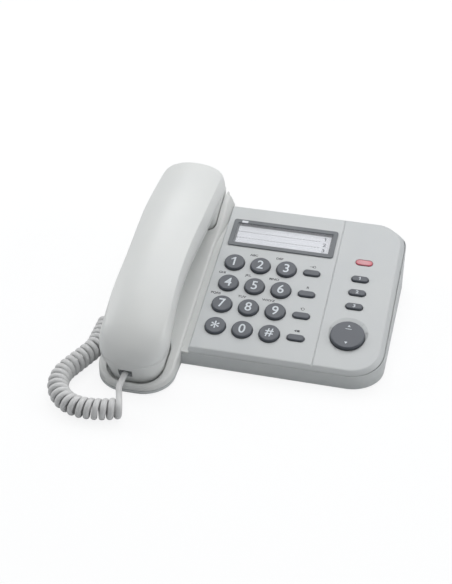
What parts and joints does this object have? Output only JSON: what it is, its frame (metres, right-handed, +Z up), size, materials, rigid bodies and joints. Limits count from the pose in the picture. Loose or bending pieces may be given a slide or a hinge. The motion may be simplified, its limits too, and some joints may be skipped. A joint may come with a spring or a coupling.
{
  "type": "corded desk telephone",
  "caption": "Wedge-shaped corded desk telephone with a lift-off handset on its left side, a curly cord, a key pad, oblong keys and a number card under a clear window.",
  "frame": {"origin": "centre of the base's footprint, on the table under its feet", "axes": "+X to the right of the user, +Y away from the user, +Z up"},
  "size_m": [0.2249, 0.2312, 0.0762],
  "materials": {
    "body": "fine satin",
    "handset": "fine satin",
    "keys": "satin",
    "frame": "satin",
    "card": "matt paper",
    "window": "clear plastic",
    "lamp": "translucent",
    "cord": "satin",
    "plug": "clear plastic",
    "jack": "satin",
    "foot": "matt",
    "steel": "plain",
    "board": "varnished",
    "mat": "matt",
    "black": "matt"
  },
  "bodies": {
    "base": {"bottom_case": "body", "top_cover": "body", "case_screws": "steel", "rubber_feet": "foot", "wall_tab": "body", "card_frame": "frame", "number_card": "card", "lamp_lens": "lamp", "lamp_led": "window", "key_board": "board", "keypad_mat": "mat", "side_mat": "mat", "main_board": "board", "board_screws": "steel", "ringer": "black", "ballast": "steel", "line_jack": "jack", "cord_jack": "jack", "hook_switch": "black", "hook_spring": "steel", "volume_axle": "steel", "curly_cord": "cord", "base_lead": "cord", "base_plug": "plug"},
    "handset": {"handset_back": "handset", "handset_face": "handset", "ear_speaker": "black", "microphone": "steel", "handset_weight": "steel", "handset_jack": "jack", "handset_screws": "steel", "handset_plug": "plug", "handset_lead": "cord"},
    "hook": {"hook_plunger": "body"},
    "card_cover": {"card_window": "window"},
    "volume": {"volume_key": "keys"},
    "key_star": {"key_star": "keys"},
    "key_0": {"key_0": "keys"},
    "key_hash": {"key_hash": "keys"},
    "key_7": {"key_7": "keys"},
    "key_8": {"key_8": "keys"},
    "key_9": {"key_9": "keys"},
    "key_4": {"key_4": "keys"},
    "key_5": {"key_5": "keys"},
    "key_6": {"key_6": "keys"},
    "key_1": {"key_1": "keys"},
    "key_2": {"key_2": "keys"},
    "key_3": {"key_3": "keys"},
    "function_key_1": {"function_key_1": "keys"},
    "function_key_2": {"function_key_2": "keys"},
    "function_key_3": {"function_key_3": "keys"},
    "function_key_4": {"function_key_4": "keys"},
    "memory_key_1": {"memory_key_1": "keys"},
    "memory_key_2": {"memory_key_2": "keys"},
    "memory_key_3": {"memory_key_3": "keys"}
  },
  "joints": [
    {"name": "handset_lift", "type": "slide", "parent": "base", "child": "handset", "axis": [0, 0, 1], "range_m": [0, 0.07]},
    {"name": "hook_rise", "type": "slide", "parent": "base", "child": "hook", "axis": [0, 0, 1], "range_m": [0, 0.005]},
    {"name": "window_lift", "type": "slide", "parent": "base", "child": "card_cover", "axis": [0, -0.2006, 0.9797], "range_m": [0, 0.015]},
    {"name": "volume_rock", "type": "hinge", "parent": "base", "child": "volume", "pos_m": [0.0694, -0.02698, 0.01719], "axis": [1, 0, 0], "range_deg": [-3, 3], "stiffness_Nm_per_rad": 0.08},
    {"name": "key_star_press", "type": "slide", "parent": "base", "child": "key_star", "axis": [0, -0.2006, 0.9797], "range_m": [-0.0012, 0], "stiffness_N_per_m": 300, "springref_m": 0.0008},
    {"name": "key_0_press", "type": "slide", "parent": "base", "child": "key_0", "axis": [0, -0.2006, 0.9797], "range_m": [-0.0012, 0], "stiffness_N_per_m": 300, "springref_m": 0.0008},
    {"name": "key_hash_press", "type": "slide", "parent": "base", "child": "key_hash", "axis": [0, -0.2006, 0.9797], "range_m": [-0.0012, 0], "stiffness_N_per_m": 300, "springref_m": 0.0008},
    {"name": "key_7_press", "type": "slide", "parent": "base", "child": "key_7", "axis": [0, -0.2006, 0.9797], "range_m": [-0.0012, 0], "stiffness_N_per_m": 300, "springref_m": 0.0008},
    {"name": "key_8_press", "type": "slide", "parent": "base", "child": "key_8", "axis": [0, -0.2006, 0.9797], "range_m": [-0.0012, 0], "stiffness_N_per_m": 300, "springref_m": 0.0008},
    {"name": "key_9_press", "type": "slide", "parent": "base", "child": "key_9", "axis": [0, -0.2006, 0.9797], "range_m": [-0.0012, 0], "stiffness_N_per_m": 300, "springref_m": 0.0008},
    {"name": "key_4_press", "type": "slide", "parent": "base", "child": "key_4", "axis": [0, -0.2006, 0.9797], "range_m": [-0.0012, 0], "stiffness_N_per_m": 300, "springref_m": 0.0008},
    {"name": "key_5_press", "type": "slide", "parent": "base", "child": "key_5", "axis": [0, -0.2006, 0.9797], "range_m": [-0.0012, 0], "stiffness_N_per_m": 300, "springref_m": 0.0008},
    {"name": "key_6_press", "type": "slide", "parent": "base", "child": "key_6", "axis": [0, -0.2006, 0.9797], "range_m": [-0.0012, 0], "stiffness_N_per_m": 300, "springref_m": 0.0008},
    {"name": "key_1_press", "type": "slide", "parent": "base", "child": "key_1", "axis": [0, -0.2006, 0.9797], "range_m": [-0.0012, 0], "stiffness_N_per_m": 300, "springref_m": 0.0008},
    {"name": "key_2_press", "type": "slide", "parent": "base", "child": "key_2", "axis": [0, -0.2006, 0.9797], "range_m": [-0.0012, 0], "stiffness_N_per_m": 300, "springref_m": 0.0008},
    {"name": "key_3_press", "type": "slide", "parent": "base", "child": "key_3", "axis": [0, -0.2006, 0.9797], "range_m": [-0.0012, 0], "stiffness_N_per_m": 300, "springref_m": 0.0008},
    {"name": "function_key_1_press", "type": "slide", "parent": "base", "child": "function_key_1", "axis": [0, -0.2006, 0.9797], "range_m": [-0.0012, 0], "stiffness_N_per_m": 300, "springref_m": 0.0008},
    {"name": "function_key_2_press", "type": "slide", "parent": "base", "child": "function_key_2", "axis": [0, -0.2006, 0.9797], "range_m": [-0.0012, 0], "stiffness_N_per_m": 300, "springref_m": 0.0008},
    {"name": "function_key_3_press", "type": "slide", "parent": "base", "child": "function_key_3", "axis": [0, -0.2006, 0.9797], "range_m": [-0.0012, 0], "stiffness_N_per_m": 300, "springref_m": 0.0008},
    {"name": "function_key_4_press", "type": "slide", "parent": "base", "child": "function_key_4", "axis": [0, -0.2006, 0.9797], "range_m": [-0.0012, 0], "stiffness_N_per_m": 300, "springref_m": 0.0008},
    {"name": "memory_key_1_press", "type": "slide", "parent": "base", "child": "memory_key_1", "axis": [0, -0.2006, 0.9797], "range_m": [-0.0012, 0], "stiffness_N_per_m": 300, "springref_m": 0.0008},
    {"name": "memory_key_2_press", "type": "slide", "parent": "base", "child": "memory_key_2", "axis": [0, -0.2006, 0.9797], "range_m": [-0.0012, 0], "stiffness_N_per_m": 300, "springref_m": 0.0008},
    {"name": "memory_key_3_press", "type": "slide", "parent": "base", "child": "memory_key_3", "axis": [0, -0.2006, 0.9797], "range_m": [-0.0012, 0], "stiffness_N_per_m": 300, "springref_m": 0.0008}
  ],
  "couplings": [
    {"joint": "hook_rise", "follows": "handset_lift", "ratio": 0.0714}
  ]
}
